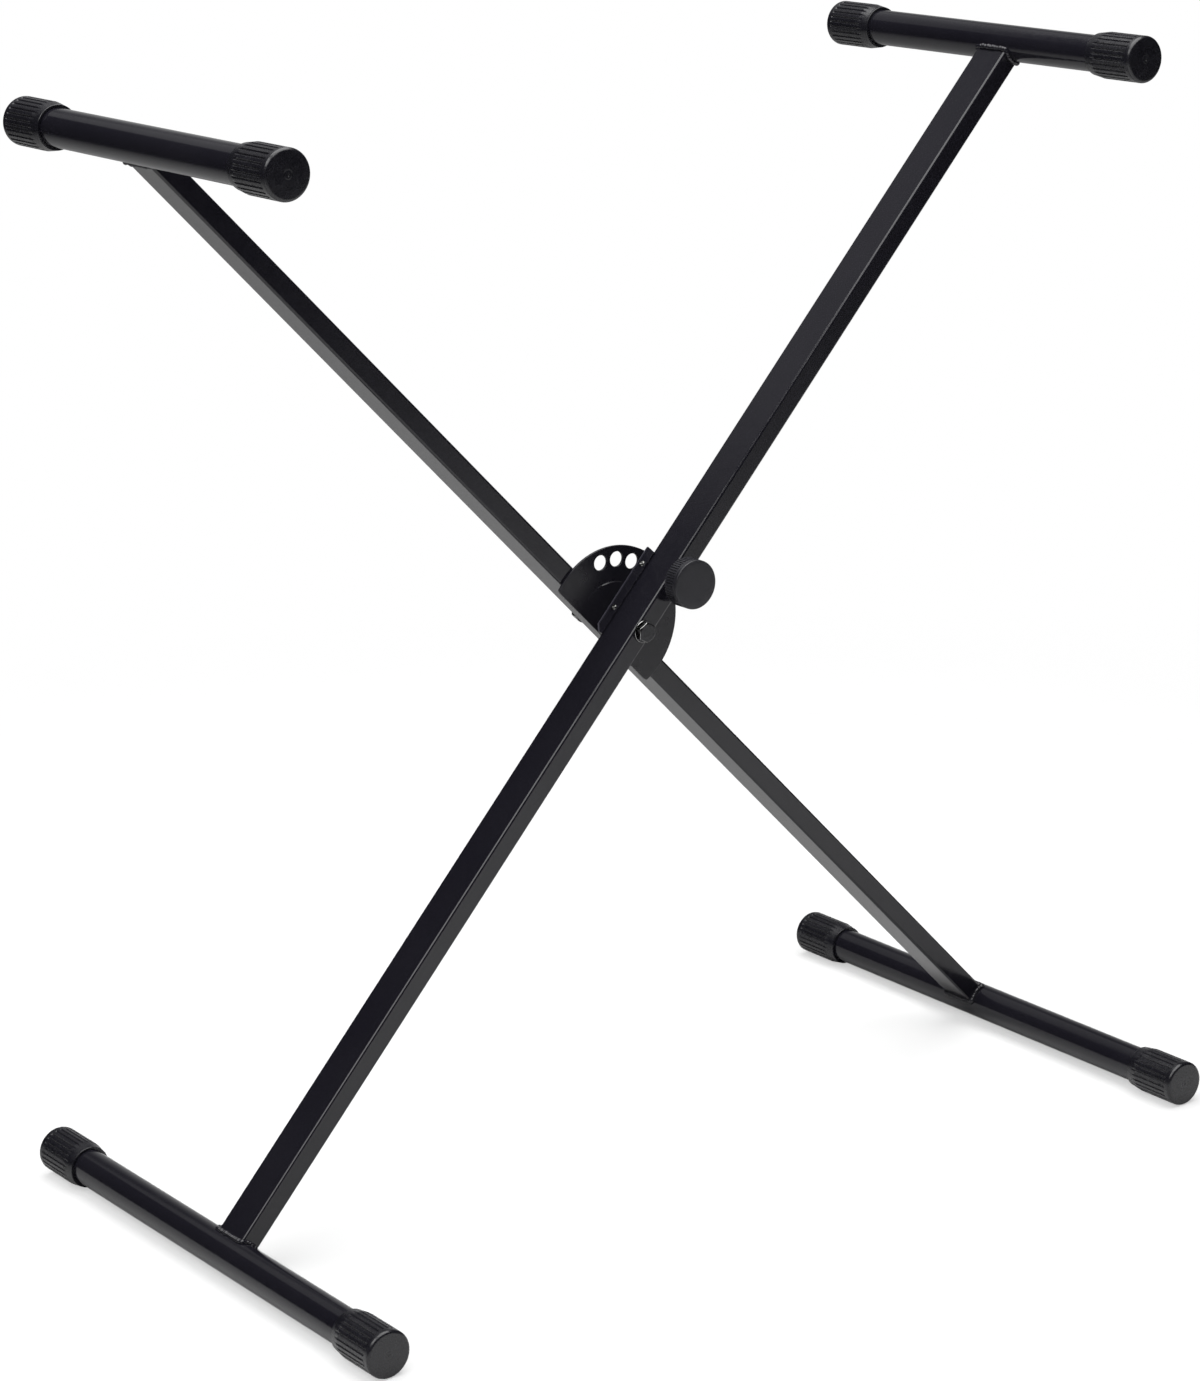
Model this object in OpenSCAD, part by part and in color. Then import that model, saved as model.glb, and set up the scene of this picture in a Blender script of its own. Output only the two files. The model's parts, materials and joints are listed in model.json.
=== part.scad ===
// Folding keyboard stand with a single brace: two rectangular-tube arms cross at a
// pivot bolt, and each carries a round bar at the top and a longer round foot.
// The player's side is -Y. The front arm rises to the right, the back arm to the left.
// A pull knob on the front arm draws a sprung pin out of the lock plate on the back arm.

/* [Stance] */
// Angle between the two arms as the stand is set, in degrees
open_angle = 86.3; // [75:0.1:100]
// Length of an arm from the axis of its top bar to the axis of its foot
arm_length = 1026; // [700:1:1200]

/* [Arms] */
// Width of the arm tube, seen from the player's side
arm_w = 15; // [15:0.5:24]
// Depth of the arm tube, front to back
arm_d = 30; // [28:0.5:40]
// Wall of the arm tube
arm_wall = 1.2; // [0.8:0.1:1.5]
// Outer corner radius of the arm tube
arm_corner = 1.7; // [1.6:0.1:2.4]
// Free space between the two arms
arm_gap = 9; // [7:0.5:14]

/* [Bars and feet] */
// Outer diameter of the round bars
bar_d = 26; // [22:0.5:29]
// Wall of the round bars
bar_wall = 1.2; // [0.8:0.1:2]
// Length of a top bar over its caps
top_length = 329; // [250:1:420]
// Length of a foot over its caps
foot_length = 434; // [340:1:560]
// Gap left for the weld between an arm's shaped end and its bar
cope_gap = 0.05; // [0.02:0.01:0.2]
// Size of the weld bead round an arm's end
weld = 2.6; // [1.5:0.1:3.5]

/* [End caps] */
// Outer diameter of an end cap
cap_d = 33; // [30:0.1:34]
// Length of an end cap
cap_len = 46; // [28:0.5:52]
// Thickness of an end cap over the end of the bar
cap_end = 4; // [3:0.5:8]
// Radius of the cap's outer edge
cap_edge = 2.4; // [1:0.1:2.8]
// Diameter of the thin lip at the cap's open end
cap_lip_d = 29; // [27.6:0.1:29.4]
// Length of the lip
cap_lip = 1.2; // [0.6:0.1:2]
// Length over which the cap swells from its lip to its full size
cap_swell = 7; // [3:0.5:8]
// Number of grooves round a cap
cap_grooves = 28; // [20:1:32]
// Depth of a cap's grooves
groove_deep = 0.7; // [0.3:0.1:0.9]
// Radius of the cutter that makes a cap's grooves
groove_r = 0.8; // [0.6:0.1:1]
// Smooth collar between the grooves and the cap's end face
cap_collar = 5; // [3:0.5:8]
// Clearance of a cap round its bar
cap_fit = 0.05; // [0.02:0.01:0.15]
// Diameter of the moulding mark in the middle of a cap
gate_d = 1.6; // [1:0.1:3]
// Depth of the moulding mark
gate_deep = 0.4; // [0.2:0.1:1]

/* [Lock plate] */
// Radius of the plate's round edge
plate_r = 55.4; // [54:0.2:62]
// Distance from the pivot down to the middle of the round edge, along the back arm
plate_drop = 2; // [0:0.5:3]
// Thickness of the plate
plate_t = 2; // [1.5:0.1:3]
// Distance from the pivot to the plate's straight edge
plate_chord = 13; // [10:0.5:18]
// Radius of the plate's two corners
plate_corner = 4; // [2:0.5:8]
// Diameter of a lock hole
hole_d = 11; // [10.6:0.1:11.6]
// Least width of sheet between a lock hole and the plate's round edge
hole_margin = 3.6; // [2:0.2:5]
// Angle from one lock hole to the next, in degrees
hole_pitch = 18; // [17.5:0.5:24]
// Number of settings higher than the one shown
settings_above = 3; // [1:1:3]
// Number of settings lower than the one shown
settings_below = 1; // [1:1:2]
// Radius of the raised middle of the plate
boss_r = 28.5; // [24:0.5:32]
// Height of the raised middle
boss_h = 0.6; // [0.3:0.1:1]
// Size of the welds that hold the plate to the back arm
plate_weld = 3; // [2:0.2:4]
// Length of those welds
plate_weld_len = 70; // [40:1:90]

/* [Bracket] */
// Sheet thickness of the bracket on the front arm
bracket_t = 1.5; // [1:0.1:2]
// Reach of the bracket past the pin, along the arm
bracket_past = 13.5; // [10:0.1:20]
// Slant of the bracket's upper end, from its far edge down to its edge on the arm
bracket_slant = 2.5; // [0:0.1:5]
// Reach of the bracket below the pivot, along the arm
bracket_down = 14; // [13:0.5:24]
// Corner cut off the bracket's lower end
bracket_cut = 5.5; // [3:0.1:8]
// Lap of the bracket over the sides of the arm
bracket_lap = 2.6; // [2.4:0.1:8]
// Reach of the thin lip past the bracket's sides, next to the lock plate
bracket_lip = 1.2; // [0.4:0.1:1.8]
// Thickness of the lip
lip_t = 1; // [0.6:0.1:1.4]
// Radius of a plug weld
plug_r = 2.3; // [1.2:0.1:2.3]
// Height of a plug weld
plug_h = 1.3; // [0.6:0.1:1.8]
// Distance from a plug weld to the bracket's edge
plug_inset = 1.7; // [0:0.1:2.4]
// Height of the lower plug welds over the pivot, along the arm
plug_up = 7.2; // [5:0.1:12]

/* [Pivot] */
// Diameter of the pivot bolt
bolt_d = 8; // [6:0.5:8.5]
// Width across the flats of the bolt head and the nut
hex_af = 13; // [12:0.5:13.5]
// Diameter of the flat round face of the bolt head and the nut
hex_face_d = 11.8; // [11.5:0.1:12]
// Turn of the bolt head against the line of the arm, in degrees
head_turn = -13; // [-30:1:30]
// Height of the bolt head
head_h = 4.3; // [4:0.1:7]
// Height of the nut with its locking collar
nut_h = 8; // [6:0.5:10]
// Diameter of the nut's locking collar
nut_collar_d = 11.4; // [10:0.1:11.4]
// Height of the nut's locking collar
nut_collar_h = 2; // [1:0.1:3]
// Thread that stands out past the nut
bolt_out = 2; // [0.5:0.5:5]
// Diameter of the washers
washer_d = 16; // [14.5:0.1:17]
// Thickness of the washers
washer_t = 1.2; // [1:0.1:2.5]
// Diameter of the spacer inside the bracket
spacer_d = 14; // [12:0.2:14.6]
// Radial play of the back arm on the bolt
pivot_play = 0.06; // [0.02:0.01:0.1]
// Play along the bolt, on each side of the back arm
pivot_float = 0.2; // [0.1:0.05:0.4]
// Clearance of the fixed pieces round the bolt
bolt_clear = 0.15; // [0.05:0.05:0.3]
// Clearance of the sleeves inside the arms
sleeve_fit = 0.2; // [0.1:0.05:0.5]
// Clearance of pieces that are pressed or screwed together
press_fit = 0.03; // [0.01:0.01:0.1]

/* [Locking pin] */
// Diameter of the pin's stem
stem_d = 7; // [6:0.2:7.4]
// Diameter of the pin's nose, which goes into a lock hole
nose_d = 10; // [9.7:0.1:10.3]
// Length of the nose
nose_len = 14.2; // [12:0.2:18]
// Bevel round the tip of the nose
nose_bevel = 1; // [0.4:0.1:2]
// Radial play of the pin in its guides
pin_play = 0.06; // [0.02:0.01:0.1]
// Gap between the tip of the pin and the lock plate
pin_clear = 0.3; // [0.2:0.05:0.6]
// Diameter of the guide that stands on the arm
guide_d = 16; // [14:0.5:18]
// Height of the guide above the arm
guide_h = 7.5; // [6:0.5:9]
// Bevel round the guide's front end
guide_bevel = 1; // [0.4:0.1:2]
// Diameter of the guide's spigot inside the arm
spigot_d = 11; // [10:0.1:11.4]
// Depth that the spigot reaches into the arm
spigot_in = 3.2; // [2:0.2:5]
// Wire of the pin's spring
spring_wire = 1; // [0.7:0.1:1.1]
// Turns of the pin's spring
spring_turns = 7; // [5:1:9]
// Gap between the spring and what it presses on
spring_gap = 0.15; // [0.1:0.05:0.3]

/* [Pull knob] */
// Diameter of the knob
knob_d = 35; // [30:0.5:44]
// Thickness of the knob
knob_h = 13.5; // [10:0.5:16]
// Distance from the knob's back to the face of the arm
knob_gap = 8.2; // [8:0.1:14]
// Number of grooves round the knob
knob_grooves = 56; // [40:1:64]
// Radius of the cutter that makes the knob's grooves
knob_cut = 0.5; // [0.5:0.05:0.7]
// Depth of the knob's grooves
knob_cut_deep = 0.5; // [0.2:0.05:0.5]
// Smooth rim between the grooves and the knob's face
knob_rim = 4; // [1.8:0.1:5]
// Radius of the knob's front edge
knob_edge = 1.4; // [0.6:0.1:1.8]
// Width of the hollow in the knob's back
knob_hollow_d = 20; // [19:0.5:24]
// Depth of the hollow in the knob's back
knob_hollow = 5.5; // [4:0.5:6]
// Thickness of the knob's face in front of the stem
knob_face = 2.8; // [2:0.1:3.4]

/* [Hidden] */
$fn = 96;

half_arm = arm_length / 2;
foot_axis_z = cap_d / 2;
pivot_z = foot_axis_z + half_arm * cos(open_angle / 2);
hole_ring = plate_r - plate_drop - hole_margin - hole_d / 2;
bracket_up = hole_ring + bracket_past;

// Depths of the pieces along the pivot, front to back
front_arm_near = -arm_gap / 2 - arm_d;
front_arm_far = -arm_gap / 2;
back_arm_near = arm_gap / 2;
back_arm_far = back_arm_near + arm_d;
plate_near = back_arm_near - plate_t;
web_far = plate_near - boss_h - pivot_float;
web_near = web_far - bracket_t;

// The pin, from the knob's face to its tip
nose_tip = plate_near - pin_clear;
nose_back = nose_tip - nose_len;
knob_back = front_arm_near - knob_gap;
knob_front = knob_back - knob_h;
stem_end = knob_front + knob_face;
guide_front = front_arm_near - guide_h;
spigot_end = front_arm_near + arm_wall + spigot_in;

// The bolt and its nut
head_back = front_arm_near - washer_t;
nut_washer_near = back_arm_far + pivot_float;
nut_near = nut_washer_near + washer_t;
nut_far = nut_near + nut_h;
bolt_end = nut_far + bolt_out;

sleeve_d = arm_w - 2 * arm_wall - 2 * sleeve_fit;
cut_past = 1;

STEEL_BLACK = [0.10, 0.10, 0.11];
WELD_BLACK = [0.16, 0.16, 0.17];
RUBBER = [0.14, 0.14, 0.15];
BOLT_BLACK = [0.20, 0.20, 0.20];
STEEL = [0.62, 0.62, 0.64];
PLASTIC = [0.17, 0.17, 0.19];

// Frames of the two arms: Z runs up along the arm, from the pivot
module on_front_arm() {
    translate([0, 0, pivot_z]) rotate([0, open_angle / 2, 0]) children();
}

module on_back_arm() {
    translate([0, 0, pivot_z]) rotate([0, -open_angle / 2, 0]) children();
}

module at_pin() {
    on_front_arm() translate([0, 0, hole_ring]) children();
}

// Round pieces that lie along Y, from one depth to another
module rod(d, near, far) {
    translate([0, near, 0]) rotate([-90, 0, 0]) cylinder(d = d, h = far - near);
}

module ring(outer, bore, near, far) {
    difference() {
        rod(outer, near, far);
        rod(bore, near - cut_past, far + cut_past);
    }
}

module hexagon(near, far) {
    translate([0, near, 0]) rotate([-90, 0, 0])
        cylinder(d = hex_af / cos(30), h = far - near, $fn = 6);
}

// A profile of [radius, depth] points, turned round the Y axis
module turned(points) {
    rotate([-90, 0, 0]) rotate_extrude() polygon(points);
}

module rounded_rect(w, d, r) {
    square([w - 2 * r, d], center = true);
    square([w, d - 2 * r], center = true);
    for (x = [-1, 1], y = [-1, 1])
        translate([x * (w / 2 - r), y * (d / 2 - r)]) circle(r);
}

// Arms
module arm_blank() {
    translate([0, 0, -half_arm]) linear_extrude(arm_length) rounded_rect(arm_w, arm_d, arm_corner);
}

module arm_bore() {
    translate([0, 0, -half_arm]) linear_extrude(arm_length)
        rounded_rect(arm_w - 2 * arm_wall, arm_d - 2 * arm_wall, max(arm_corner - arm_wall, 0.3));
}

module bar_seats(d, near, far) {
    for (end = [-1, 1]) translate([0, 0, end * half_arm]) rod(d, near, far);
}

module arm_tube(near) {
    difference() {
        translate([0, near + arm_d / 2, 0]) difference() {
            arm_blank();
            arm_bore();
        }
        bar_seats(bar_d + 2 * cope_gap, near - cut_past, near + arm_d + cut_past);
    }
}

module arm_welds(near) {
    difference() {
        intersection() {
            translate([0, near + arm_d / 2, -half_arm]) linear_extrude(arm_length)
                rounded_rect(arm_w + 2 * weld, arm_d + 2 * weld, arm_corner + weld);
            bar_seats(bar_d + 2 * weld, near - 2 * weld, near + arm_d + 2 * weld);
        }
        translate([0, near + arm_d / 2, 0]) arm_blank();
        bar_seats(bar_d + 2 * cope_gap, near - 3 * weld, near + arm_d + 3 * weld);
    }
}

module front_arm_tube() {
    color(STEEL_BLACK) on_front_arm() difference() {
        arm_tube(front_arm_near);
        rod(bolt_d + 2 * bolt_clear, front_arm_near - cut_past, front_arm_far + cut_past);
        translate([0, 0, hole_ring]) {
            rod(spigot_d + 2 * press_fit, front_arm_near - cut_past, front_arm_near + arm_d / 2);
            rod(nose_d + 2 * pin_play, front_arm_near + arm_d / 2, front_arm_far + cut_past);
        }
    }
}

module back_arm_tube() {
    color(STEEL_BLACK) on_back_arm() difference() {
        arm_tube(back_arm_near);
        rod(bolt_d + 2 * pivot_play, back_arm_near - cut_past, back_arm_far + cut_past);
    }
}

module front_arm_welds() {
    color(WELD_BLACK) on_front_arm() arm_welds(front_arm_near);
}

module back_arm_welds() {
    color(WELD_BLACK) on_back_arm() arm_welds(back_arm_near);
}

// Bars: a round tube whose ends stop inside the caps
module bar(end, over_caps) {
    half = over_caps / 2 - cap_end;
    color(STEEL_BLACK) translate([0, 0, end * half_arm]) ring(bar_d, bar_d - 2 * bar_wall, -half, half);
}

module front_top_bar() {
    on_front_arm() bar(1, top_length);
}

module front_foot_bar() {
    on_front_arm() bar(-1, foot_length);
}

module back_top_bar() {
    on_back_arm() bar(1, top_length);
}

module back_foot_bar() {
    on_back_arm() bar(-1, foot_length);
}

// End cap: its open end is at depth 0 and its end face at cap_len
function swell_points(steps = 6) = [
    for (i = [0:steps]) let (a = 90 * i / steps)
        [cap_lip_d / 2 + (cap_d - cap_lip_d) / 2 * sin(a), cap_lip + cap_swell * (1 - cos(a))]
];

function edge_points(r, front, edge, steps = 6) = [
    for (i = [0:steps]) let (a = 90 * i / steps)
        [r - edge + edge * cos(a), front - edge + edge * sin(a)]
];

module end_cap() {
    bore = bar_d / 2 + cap_fit;
    difference() {
        turned(concat(
            [[bore, 0], [cap_lip_d / 2, 0]],
            swell_points(),
            edge_points(cap_d / 2, cap_len, cap_edge),
            [[0, cap_len], [0, cap_len - cap_end], [bore, cap_len - cap_end]]
        ));
        for (i = [0:cap_grooves - 1])
            rotate([0, 360 * (i + 0.5) / cap_grooves, 0])
                translate([0, 0, cap_d / 2 + groove_r - groove_deep])
                    rod(2 * groove_r, -cut_past, cap_len - cap_collar);
        rod(gate_d, cap_len - gate_deep, cap_len + cut_past);
    }
}

module bar_cap(end, over_caps, side) {
    color(RUBBER) translate([0, 0, end * half_arm]) mirror([0, side < 0 ? 1 : 0, 0])
        translate([0, over_caps / 2 - cap_len, 0]) end_cap();
}

module front_top_cap_near() {
    on_front_arm() bar_cap(1, top_length, -1);
}

module front_top_cap_far() {
    on_front_arm() bar_cap(1, top_length, 1);
}

module front_foot_cap_near() {
    on_front_arm() bar_cap(-1, foot_length, -1);
}

module front_foot_cap_far() {
    on_front_arm() bar_cap(-1, foot_length, 1);
}

module back_top_cap_near() {
    on_back_arm() bar_cap(1, top_length, -1);
}

module back_top_cap_far() {
    on_back_arm() bar_cap(1, top_length, 1);
}

module back_foot_cap_near() {
    on_back_arm() bar_cap(-1, foot_length, -1);
}

module back_foot_cap_far() {
    on_back_arm() bar_cap(-1, foot_length, 1);
}

// Bracket: a channel that laps over the sides of the front arm and runs on the lock plate
module bracket_side() {
    lap_edge = front_arm_far - bracket_lap;
    polygon([
        [lap_edge, -bracket_down],
        [web_far - bracket_cut, -bracket_down],
        [web_far, bracket_cut - bracket_down],
        [web_far, bracket_up],
        [lap_edge, bracket_up - bracket_slant]
    ]);
}

module lip_side() {
    difference() {
        bracket_side();
        translate([-lip_t, 0]) bracket_side();
    }
}

module pivot_bracket() {
    outer = arm_w + 2 * bracket_t;
    color(STEEL_BLACK) on_front_arm() difference() {
        rotate([90, 0, 90]) {
            translate([0, 0, -outer / 2]) linear_extrude(outer) bracket_side();
            translate([0, 0, -outer / 2 - bracket_lip])
                linear_extrude(outer + 2 * bracket_lip) lip_side();
        }
        translate([-arm_w / 2, web_near - 2 * arm_d, -2 * bracket_down])
            cube([arm_w, 2 * arm_d, 2 * bracket_down + 2 * bracket_up]);
        rod(bolt_d + 2 * bolt_clear, web_near - cut_past, web_far + cut_past);
        translate([0, 0, hole_ring]) rod(nose_d + 2 * pin_play, web_near - cut_past, web_far + cut_past);
    }
}

// Plug welds: low domes on both sides of the bracket, by the pivot and by the pin
module plug_weld() {
    dome_r = (plug_r * plug_r + plug_h * plug_h) / (2 * plug_h);
    intersection() {
        translate([plug_h - dome_r, 0, 0]) sphere(dome_r);
        rotate([0, 90, 0]) cylinder(r = 2 * plug_r, h = 2 * plug_h);
    }
}

module bracket_plug_welds() {
    color(WELD_BLACK) on_front_arm()
        for (side = [0, 180], z = [plug_up, hole_ring])
            translate([0, front_arm_far - bracket_lap + plug_inset + plug_r, z]) rotate([0, 0, side])
                translate([arm_w / 2 + bracket_t, 0, 0]) plug_weld();
}

// Pivot
module bevelled_hex(near, far, bevel_near, bevel_far) {
    corner = hex_af / cos(30) / 2;
    face_r = hex_face_d / 2;
    rise = (corner - face_r) * tan(30);
    intersection() {
        hexagon(near, far);
        turned([
            [0, near],
            [bevel_near ? face_r : corner, near],
            [corner, near + (bevel_near ? rise : 0)],
            [corner, far - (bevel_far ? rise : 0)],
            [bevel_far ? face_r : corner, far],
            [0, far]
        ]);
    }
}

module pivot_bolt() {
    color(BOLT_BLACK) on_front_arm() {
        rotate([0, head_turn, 0]) bevelled_hex(head_back - head_h, head_back, true, false);
        rod(bolt_d, head_back - cut_past, bolt_end);
    }
}

module head_washer() {
    color(BOLT_BLACK) on_front_arm() ring(washer_d, bolt_d + 2 * bolt_clear, head_back, front_arm_near);
}

module front_arm_sleeve() {
    color(STEEL) on_front_arm()
        ring(sleeve_d, bolt_d + 2 * bolt_clear, front_arm_near + arm_wall, front_arm_far - arm_wall);
}

module bracket_spacer() {
    color(STEEL) on_front_arm() ring(spacer_d, bolt_d + 2 * bolt_clear, front_arm_far, web_near);
}

module nut_washer() {
    color(BOLT_BLACK) on_front_arm()
        ring(washer_d, bolt_d + 2 * bolt_clear, nut_washer_near, nut_near);
}

module lock_nut() {
    hex_far = nut_far - nut_collar_h;
    color(BOLT_BLACK) on_front_arm() difference() {
        union() {
            bevelled_hex(nut_near, hex_far, true, true);
            rod(nut_collar_d, (nut_near + hex_far) / 2, nut_far);
        }
        rod(bolt_d + 2 * press_fit, nut_near - cut_past, nut_far + cut_past);
    }
}

module back_arm_sleeve() {
    color(STEEL) on_back_arm()
        ring(sleeve_d, bolt_d + 2 * pivot_play, back_arm_near + arm_wall, back_arm_far - arm_wall);
}

// Lock plate: half a disc in the plane of the back arm, drawn with Y up along the arm
module plate_outline() {
    corner_x = plate_corner - plate_chord;
    corner_y = sqrt(pow(plate_r - plate_corner, 2) - pow(corner_x, 2));
    reach = 2 * plate_r / (plate_r - plate_corner);
    intersection() {
        circle(plate_r, $fn = 180);
        polygon([
            [0, 0],
            [reach * corner_x, reach * corner_y],
            [3 * plate_r, reach * corner_y],
            [3 * plate_r, -reach * corner_y],
            [reach * corner_x, -reach * corner_y]
        ]);
    }
    polygon([
        [0, 0],
        [corner_x, corner_y],
        [-plate_chord, corner_y],
        [-plate_chord, -corner_y],
        [corner_x, -corner_y]
    ]);
    for (side = [-1, 1]) translate([corner_x, side * corner_y]) circle(plate_corner);
}

module plate_sheet(near, far) {
    translate([0, far, -plate_drop]) rotate([90, 0, 0]) linear_extrude(far - near) plate_outline();
}

module lock_plate() {
    color(STEEL_BLACK) on_back_arm() difference() {
        union() {
            plate_sheet(plate_near, back_arm_near);
            intersection() {
                plate_sheet(plate_near - boss_h, plate_near);
                turned([
                    [0, plate_near - boss_h],
                    [boss_r - boss_h, plate_near - boss_h],
                    [boss_r, plate_near],
                    [0, plate_near]
                ]);
            }
        }
        rod(bolt_d + 2 * pivot_play, plate_near - boss_h - cut_past, back_arm_near + cut_past);
        for (k = [-settings_above:settings_below])
            rotate([0, open_angle + k * hole_pitch, 0]) translate([0, 0, hole_ring])
                rod(hole_d, plate_near - cut_past, back_arm_near + cut_past);
    }
}

module lock_plate_welds() {
    color(WELD_BLACK) on_back_arm() difference() {
        for (side = [-1, 1])
            translate([side * arm_w / 2, back_arm_near, -plate_weld_len / 2])
                cylinder(r = plate_weld, h = plate_weld_len);
        translate([0, back_arm_near + arm_d / 2, 0]) arm_blank();
        translate([-arm_w, back_arm_near - arm_d, -plate_weld_len])
            cube([2 * arm_w, arm_d, 2 * plate_weld_len]);
    }
}

// Locking pin, its guide and its spring
module locking_pin() {
    color(STEEL) at_pin() turned([
        [0, stem_end],
        [stem_d / 2, stem_end],
        [stem_d / 2, nose_back],
        [nose_d / 2, nose_back],
        [nose_d / 2, nose_tip - nose_bevel],
        [nose_d / 2 - nose_bevel, nose_tip],
        [0, nose_tip]
    ]);
}

module pin_guide() {
    bore = stem_d / 2 + pin_play;
    color(BOLT_BLACK) at_pin() turned([
        [bore, guide_front],
        [guide_d / 2 - guide_bevel, guide_front],
        [guide_d / 2, guide_front + guide_bevel],
        [guide_d / 2, front_arm_near],
        [spigot_d / 2, front_arm_near],
        [spigot_d / 2, spigot_end],
        [bore, spigot_end]
    ]);
}

// Spring: a round wire on a helix, as one tube of six-sided rings
ring_sides = 6;
rings_per_turn = 12;
spring_mean_r = (nose_d - spring_wire) / 2;
spring_start = spigot_end + spring_gap + spring_wire / 2;
spring_finish = nose_back - spring_gap - spring_wire / 2;
spring_rings = rings_per_turn * spring_turns;
spring_rise = (spring_finish - spring_start) / spring_rings;

function spring_centre(i) = let (a = 360 * i / rings_per_turn)
    [spring_mean_r * cos(a), spring_start + i * spring_rise, spring_mean_r * sin(a)];

function spring_ring_point(i, k) = let (a = 360 * i / rings_per_turn, b = 360 * k / ring_sides)
    spring_centre(i) + spring_wire / 2 * (cos(b) * [cos(a), 0, sin(a)] + sin(b) * [0, 1, 0]);

spring_points = [
    for (i = [0:spring_rings], k = [0:ring_sides - 1]) spring_ring_point(i, k)
];

function ring_index(i, k) = i * ring_sides + k % ring_sides;

spring_faces = concat(
    [for (i = [0:spring_rings - 1], k = [0:ring_sides - 1])
        [ring_index(i, k), ring_index(i, k + 1), ring_index(i + 1, k + 1)]],
    [for (i = [0:spring_rings - 1], k = [0:ring_sides - 1])
        [ring_index(i, k), ring_index(i + 1, k + 1), ring_index(i + 1, k)]],
    [for (k = [1:ring_sides - 2]) [ring_index(0, 0), ring_index(0, k + 1), ring_index(0, k)]],
    [for (k = [1:ring_sides - 2])
        [ring_index(spring_rings, 0), ring_index(spring_rings, k), ring_index(spring_rings, k + 1)]]
);

spring_least_gap = min([
    for (i = [0:spring_rings - rings_per_turn / 2], j = [i + rings_per_turn / 2:spring_rings])
        norm(spring_centre(i) - spring_centre(j))
]) - spring_wire;
echo(spring_least_gap = spring_least_gap);

module pin_spring() {
    color(STEEL) at_pin() polyhedron(spring_points, spring_faces);
}

// Pull knob
module knob_body() {
    bore = stem_d / 2 + press_fit;
    socket = knob_h - knob_face;
    difference() {
        turned(concat(
            [[knob_hollow_d / 2, 0], [knob_d / 2, 0]],
            edge_points(knob_d / 2, knob_h, knob_edge),
            [
                [0, knob_h],
                [0, socket],
                [bore, socket],
                [bore, knob_hollow],
                [knob_hollow_d / 2, knob_hollow]
            ]
        ));
        for (i = [0:knob_grooves - 1])
            rotate([0, 360 * i / knob_grooves, 0]) translate([0, 0, knob_d / 2 + knob_cut - knob_cut_deep])
                rod(2 * knob_cut, -cut_past, knob_h - knob_rim);
    }
}

module pull_knob() {
    color(PLASTIC) at_pin() translate([0, knob_back, 0]) mirror([0, 1, 0]) knob_body();
}

front_arm_tube();
front_top_bar();
front_foot_bar();
front_arm_welds();
front_top_cap_near();
front_top_cap_far();
front_foot_cap_near();
front_foot_cap_far();
pivot_bracket();
bracket_plug_welds();
pivot_bolt();
head_washer();
front_arm_sleeve();
bracket_spacer();
nut_washer();
lock_nut();
pin_guide();
pin_spring();
back_arm_tube();
back_top_bar();
back_foot_bar();
back_arm_welds();
back_top_cap_near();
back_top_cap_far();
back_foot_cap_near();
back_foot_cap_far();
lock_plate();
lock_plate_welds();
back_arm_sleeve();
locking_pin();
pull_knob();
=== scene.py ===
# %% [markdown]
# # A folding keyboard stand
# Two rectangular steel arms cross at a bolt. Each carries a round bar at its top and a longer round foot, and every
# bar ends in ribbed caps. A sprung pin with a knob locks the arms at one of five settings.
# The CAD model arrives as a fixed frame of named pieces, in metres, with Z up and the player on the side of -Y.
# The lesson keeps the pieces whose shape is already right, such as the arms, and gives them a better finish. It
# models the rest again with the small roundings, ribs and weld beads that a camera sees.

# %% Load the frame
import json
import math

import bmesh
import bpy
from mathutils import Matrix, Vector, noise


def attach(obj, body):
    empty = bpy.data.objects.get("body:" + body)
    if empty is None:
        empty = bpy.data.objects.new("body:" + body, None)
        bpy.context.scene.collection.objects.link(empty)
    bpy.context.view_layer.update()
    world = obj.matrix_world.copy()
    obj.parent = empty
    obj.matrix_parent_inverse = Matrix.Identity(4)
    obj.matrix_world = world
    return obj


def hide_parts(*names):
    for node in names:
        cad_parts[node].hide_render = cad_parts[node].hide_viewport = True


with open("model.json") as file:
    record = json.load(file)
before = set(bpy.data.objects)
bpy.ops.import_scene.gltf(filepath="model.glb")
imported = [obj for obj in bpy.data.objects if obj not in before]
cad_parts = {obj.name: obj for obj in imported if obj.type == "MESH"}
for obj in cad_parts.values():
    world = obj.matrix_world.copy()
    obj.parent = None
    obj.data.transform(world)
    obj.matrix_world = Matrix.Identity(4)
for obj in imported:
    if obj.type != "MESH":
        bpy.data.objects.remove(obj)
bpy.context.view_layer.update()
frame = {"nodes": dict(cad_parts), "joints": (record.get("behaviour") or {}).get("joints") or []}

# %% [markdown]
# ## Where the arms stand
# Every piece belongs to one of two leaning arms, so two matrices do most of the placing. In an arm's own frame Z runs
# up along the arm from the pivot, and Y keeps pointing away from the player. Sizes are written in millimetres, as on
# a workshop drawing, and turned into metres by one factor.

# %% Frames of the two arms
MM = 0.001
OPEN_ANGLE = 86.3
HALF_ARM = 513
HOLE_RING = 44.3
PIVOT = Vector(frame["joints"][0]["pos_m"])


def shift(x=0, y=0, z=0):
    """A move in millimetres."""
    return Matrix.Translation((x * MM, y * MM, z * MM))


def lean(sign):
    """The frame of an arm: +1 leans to the right as it rises, -1 to the left."""
    return Matrix.Translation(PIVOT) @ Matrix.Rotation(sign * math.radians(OPEN_ANGLE / 2), 4, "Y")


FRONT, BACK = lean(1), lean(-1)
AT_PIN = FRONT @ shift(z=HOLE_RING)
print("pivot at", [round(v, 4) for v in PIVOT], "pin at", [round(v, 4) for v in AT_PIN.translation])

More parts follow.
